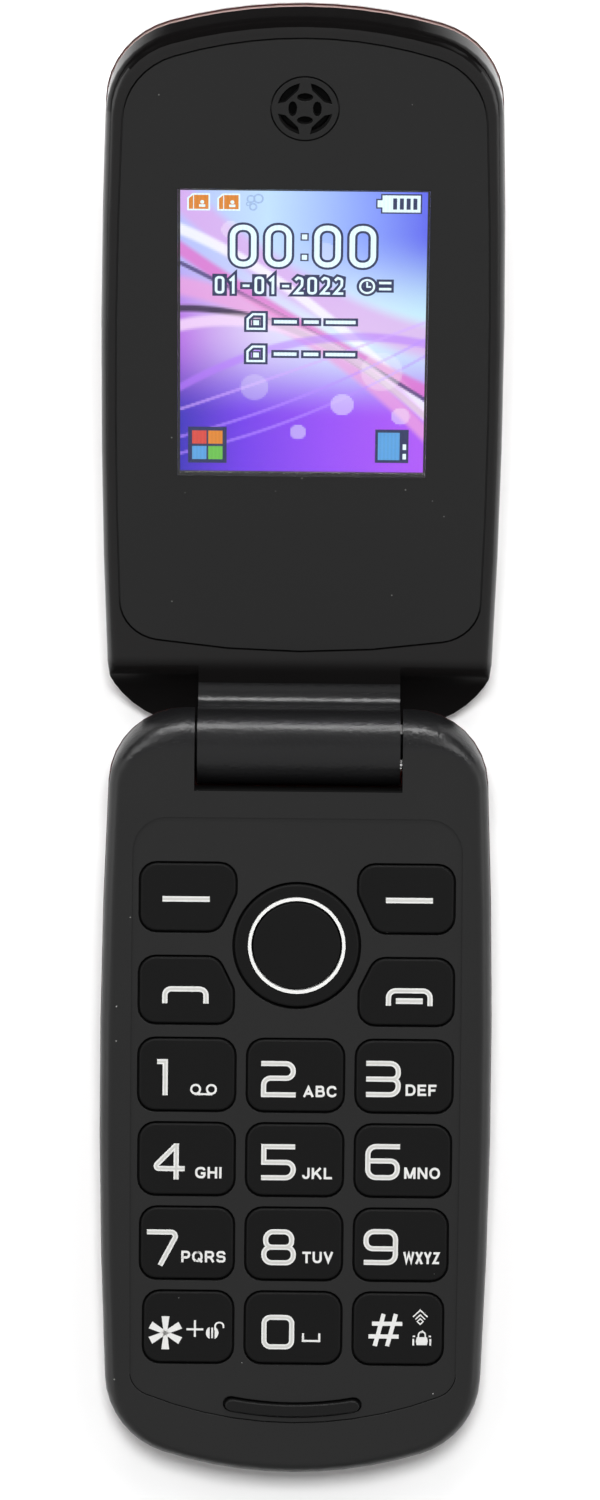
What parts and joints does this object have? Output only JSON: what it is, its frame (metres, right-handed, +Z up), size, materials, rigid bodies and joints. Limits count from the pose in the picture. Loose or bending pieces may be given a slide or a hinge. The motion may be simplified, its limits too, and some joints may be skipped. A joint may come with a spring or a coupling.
{
  "type": "flip phone",
  "caption": "Clamshell mobile phone lying open: display lid, cartridge hinge, sprung number keys, rocking direction key and snap-off battery cover.",
  "frame": {"origin": "on the table under the middle of the open phone's bounding box", "axes": "+Z up from the table, +Y from the keypad half to the display half, +X to the right when the keypad is read"},
  "size_m": [0.0462, 0.1714, 0.0407],
  "materials": {
    "black_plastic": "satin black moulded plastic",
    "wine_gloss": "glossy dark wine-red lacquer",
    "key_plastic": "matte near-black key caps",
    "white_ring": "white moulded ring",
    "grey_plastic": "grey moulded plastic",
    "clear_window": "clear hard-coated window",
    "lcd_glass": "display cell behind the window",
    "white_diffuser": "white diffuser",
    "rubber_black": "black rubber",
    "silicone": "translucent silicone",
    "circuit_board": "green solder mask",
    "amber_film": "amber flexible film",
    "battery_label": "plain label on the battery",
    "dark_resin": "dark moulded resin",
    "steel": "plated steel",
    "brass": "gold-plated contacts"
  },
  "bodies": {
    "base": {"base_cover": "black_plastic", "base_housing": "wine_gloss", "hinge_shaft": "steel", "hinge_pin": "steel", "base_flex": "amber_film", "flex_connector": "dark_resin", "main_board": "circuit_board", "key_domes": "steel", "keypad_mat": "silicone", "battery": "battery_label", "battery_contacts": "brass", "sim_holder": "steel", "shield_can": "steel", "usb_socket": "steel", "antenna": "amber_film", "loudspeaker": "dark_resin", "microphone": "brass", "vibration_motor": "steel", "base_screw_left": "steel", "base_screw_right": "steel", "lid_bumper": "rubber_black"},
    "lid": {"lid_frame": "black_plastic", "lid_cover": "wine_gloss", "display_panel": "black_plastic", "display_window": "clear_window", "earpiece_grille": "black_plastic", "earpiece_receiver": "dark_resin", "lcd_cell": "lcd_glass", "lcd_backlight": "white_diffuser", "lid_board": "circuit_board", "lid_magnet": "steel", "lid_screw_left": "steel", "lid_screw_right": "steel", "display_flex": "amber_film", "hinge_can": "steel", "hinge_cam": "brass", "hinge_spring": "steel"},
    "battery_cover": {"battery_cover": "wine_gloss"},
    "nav_rocker": {"nav_carrier": "grey_plastic"},
    "nav_pad": {"nav_pad": "key_plastic", "nav_ring": "white_ring"},
    "soft_key_left": {"soft_key_left": "key_plastic"},
    "soft_key_right": {"soft_key_right": "key_plastic"},
    "call_key": {"call_key": "key_plastic"},
    "end_key": {"end_key": "key_plastic"},
    "key_1": {"key_1": "key_plastic"},
    "key_2": {"key_2": "key_plastic"},
    "key_3": {"key_3": "key_plastic"},
    "key_4": {"key_4": "key_plastic"},
    "key_5": {"key_5": "key_plastic"},
    "key_6": {"key_6": "key_plastic"},
    "key_7": {"key_7": "key_plastic"},
    "key_8": {"key_8": "key_plastic"},
    "key_9": {"key_9": "key_plastic"},
    "key_star": {"key_star": "key_plastic"},
    "key_0": {"key_0": "key_plastic"},
    "key_hash": {"key_hash": "key_plastic"},
    "ok_key": {"ok_key": "key_plastic"}
  },
  "joints": [
    {"name": "lid_hinge", "type": "hinge", "parent": "base", "child": "lid", "pos_m": [0, 0.00047, 0.01112], "axis": [1, 0, 0], "range_deg": [0, 161]},
    {"name": "battery_cover_off", "type": "slide", "parent": "base", "child": "battery_cover", "axis": [0, 0.0717, -0.9974], "range_m": [0, 0.03]},
    {"name": "nav_rock_up_down", "type": "hinge", "parent": "base", "child": "nav_rocker", "pos_m": [0, -0.02255, 0.01207], "axis": [1, 0, 0], "range_deg": [-2.2, 2.2], "stiffness_Nm_per_rad": 0.25},
    {"name": "nav_rock_left_right", "type": "hinge", "parent": "nav_rocker", "child": "nav_pad", "pos_m": [0, -0.02255, 0.01207], "axis": [0, 0.9974, 0.0717], "range_deg": [-2.2, 2.2], "stiffness_Nm_per_rad": 0.25},
    {"name": "soft_key_left_press", "type": "slide", "parent": "base", "child": "soft_key_left", "axis": [0, 0.0717, -0.9974], "range_m": [0, 0.0004], "stiffness_N_per_m": 1500},
    {"name": "soft_key_right_press", "type": "slide", "parent": "base", "child": "soft_key_right", "axis": [0, 0.0717, -0.9974], "range_m": [0, 0.0004], "stiffness_N_per_m": 1500},
    {"name": "call_key_press", "type": "slide", "parent": "base", "child": "call_key", "axis": [0, 0.0717, -0.9974], "range_m": [0, 0.0004], "stiffness_N_per_m": 1500},
    {"name": "end_key_press", "type": "slide", "parent": "base", "child": "end_key", "axis": [0, 0.0717, -0.9974], "range_m": [0, 0.0004], "stiffness_N_per_m": 1500},
    {"name": "key_1_press", "type": "slide", "parent": "base", "child": "key_1", "axis": [0, 0.0717, -0.9974], "range_m": [0, 0.0004], "stiffness_N_per_m": 1500},
    {"name": "key_2_press", "type": "slide", "parent": "base", "child": "key_2", "axis": [0, 0.0717, -0.9974], "range_m": [0, 0.0004], "stiffness_N_per_m": 1500},
    {"name": "key_3_press", "type": "slide", "parent": "base", "child": "key_3", "axis": [0, 0.0717, -0.9974], "range_m": [0, 0.0004], "stiffness_N_per_m": 1500},
    {"name": "key_4_press", "type": "slide", "parent": "base", "child": "key_4", "axis": [0, 0.0717, -0.9974], "range_m": [0, 0.0004], "stiffness_N_per_m": 1500},
    {"name": "key_5_press", "type": "slide", "parent": "base", "child": "key_5", "axis": [0, 0.0717, -0.9974], "range_m": [0, 0.0004], "stiffness_N_per_m": 1500},
    {"name": "key_6_press", "type": "slide", "parent": "base", "child": "key_6", "axis": [0, 0.0717, -0.9974], "range_m": [0, 0.0004], "stiffness_N_per_m": 1500},
    {"name": "key_7_press", "type": "slide", "parent": "base", "child": "key_7", "axis": [0, 0.0717, -0.9974], "range_m": [0, 0.0004], "stiffness_N_per_m": 1500},
    {"name": "key_8_press", "type": "slide", "parent": "base", "child": "key_8", "axis": [0, 0.0717, -0.9974], "range_m": [0, 0.0004], "stiffness_N_per_m": 1500},
    {"name": "key_9_press", "type": "slide", "parent": "base", "child": "key_9", "axis": [0, 0.0717, -0.9974], "range_m": [0, 0.0004], "stiffness_N_per_m": 1500},
    {"name": "key_star_press", "type": "slide", "parent": "base", "child": "key_star", "axis": [0, 0.0717, -0.9974], "range_m": [0, 0.0004], "stiffness_N_per_m": 1500},
    {"name": "key_0_press", "type": "slide", "parent": "base", "child": "key_0", "axis": [0, 0.0717, -0.9974], "range_m": [0, 0.0004], "stiffness_N_per_m": 1500},
    {"name": "key_hash_press", "type": "slide", "parent": "base", "child": "key_hash", "axis": [0, 0.0717, -0.9974], "range_m": [0, 0.0004], "stiffness_N_per_m": 1500},
    {"name": "ok_key_press", "type": "slide", "parent": "base", "child": "ok_key", "axis": [0, 0.0717, -0.9974], "range_m": [0, 0.0004], "stiffness_N_per_m": 1500}
  ]
}
